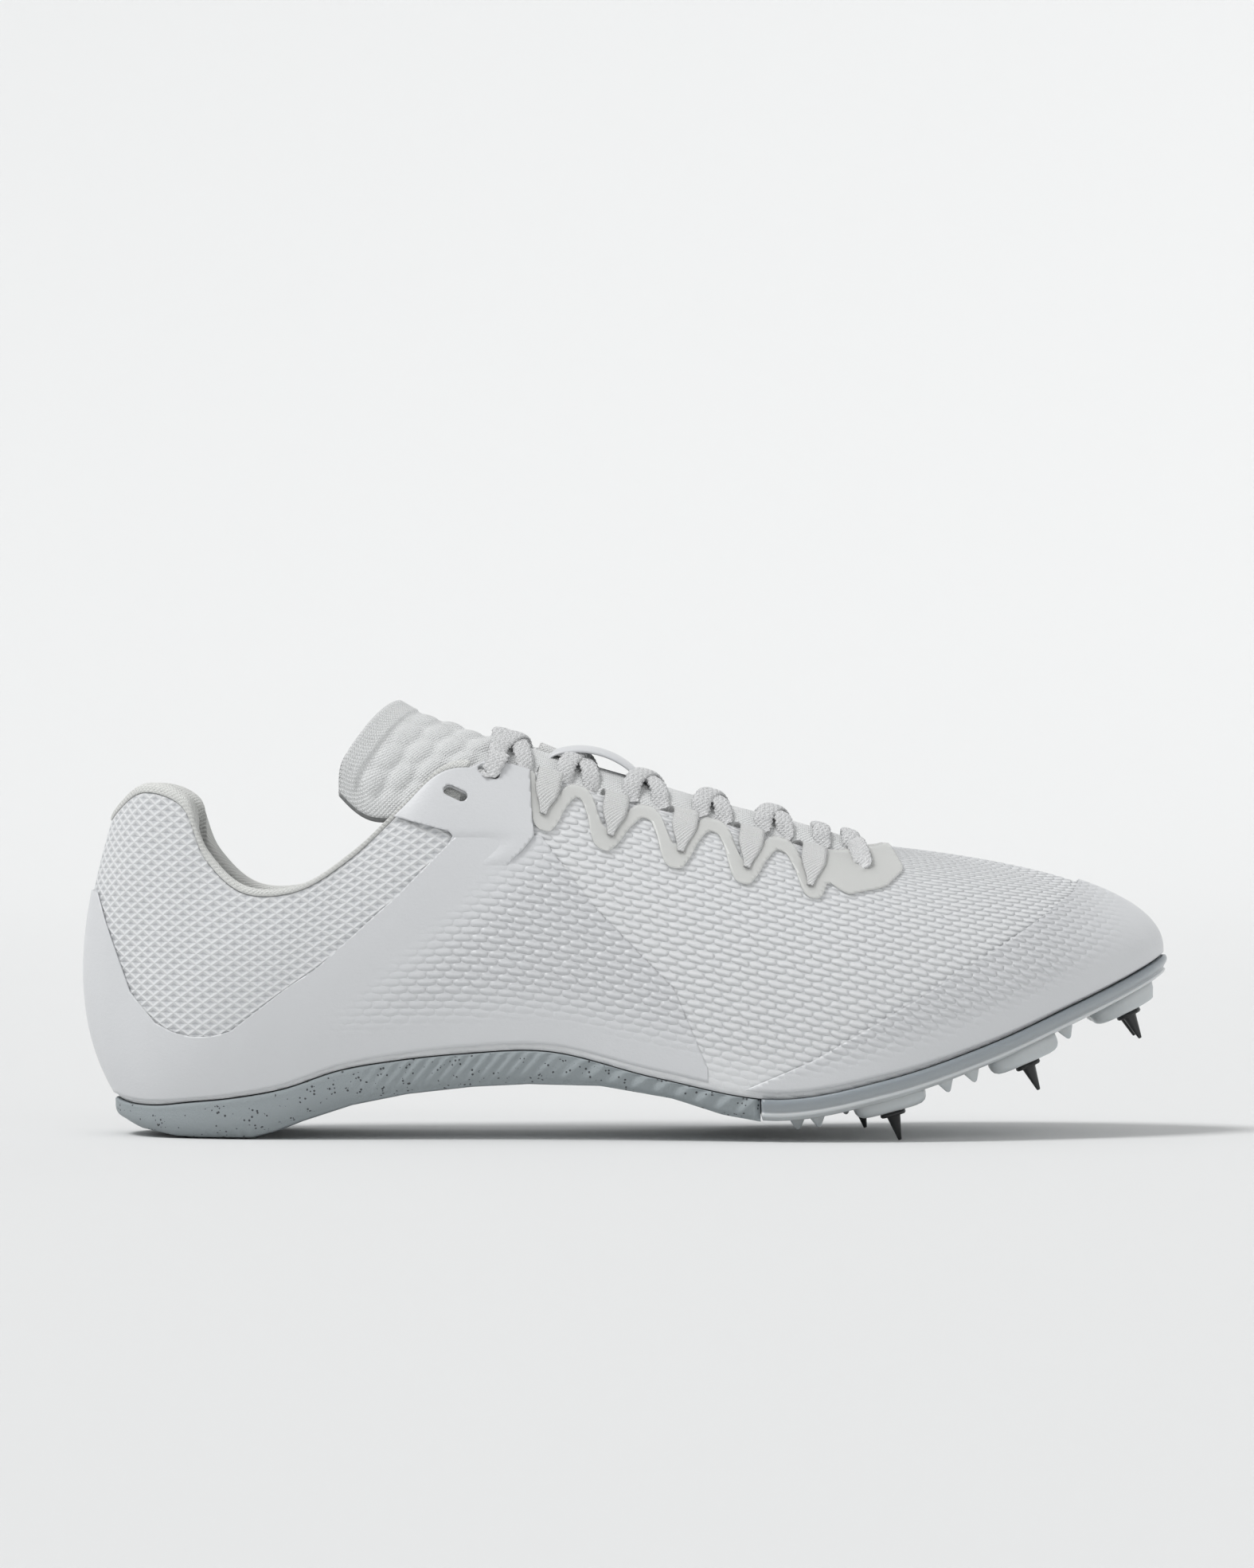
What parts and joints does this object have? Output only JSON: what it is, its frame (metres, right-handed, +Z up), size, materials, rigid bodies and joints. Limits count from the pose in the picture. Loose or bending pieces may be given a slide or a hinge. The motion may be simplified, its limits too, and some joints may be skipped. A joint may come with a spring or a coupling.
{
  "type": "track spike shoe",
  "caption": "White knitted sprint spike with smooth film overlays, webbing loop lacing, a fluted rubber heel unit and a clear forefoot plate with black spikes",
  "frame": {"origin": "on the floor, under the middle of the shoe's bounding box", "axes": "+X runs from heel to toe, -Y points to the outer (lateral) side and +Z up"},
  "size_m": [0.2828, 0.09, 0.1119],
  "materials": {
    "knit": "open white knit",
    "padding": "off-white brushed knit over foam",
    "lining": "pale matte sock liner",
    "film": "thin smooth film, welded on",
    "webbing": "white narrow webbing",
    "lace": "flat white braid",
    "rubber": "blue-grey rubber with dark specks",
    "plate": "translucent blue-white moulding",
    "spike": "black steel"
  },
  "bodies": {
    "root": {"upper": "knit", "collar": "padding", "tongue": "knit", "insole": "lining", "outsole_rear": "rubber", "spike_plate": "plate", "spike_lateral_rear": "spike", "spike_lateral_middle": "spike", "spike_lateral_front": "spike", "spike_medial_rear": "spike", "spike_medial_middle": "spike", "spike_medial_front": "spike", "toe_film": "film", "heel_film": "film", "eyelet_panel_lateral": "film", "eyelet_panel_medial": "film", "eyestay_film_lateral": "film", "eyestay_film_medial": "film", "loop_lateral_1": "webbing", "loop_lateral_2": "webbing", "loop_lateral_3": "webbing", "loop_lateral_4": "webbing", "loop_lateral_5": "webbing", "loop_medial_1": "webbing", "loop_medial_2": "webbing", "loop_medial_3": "webbing", "loop_medial_4": "webbing", "loop_medial_5": "webbing", "lace_top": "lace", "lace_1": "lace", "lace_2": "lace", "lace_3": "lace", "lace_4": "lace", "lace_5": "lace"}
  },
  "joints": []
}
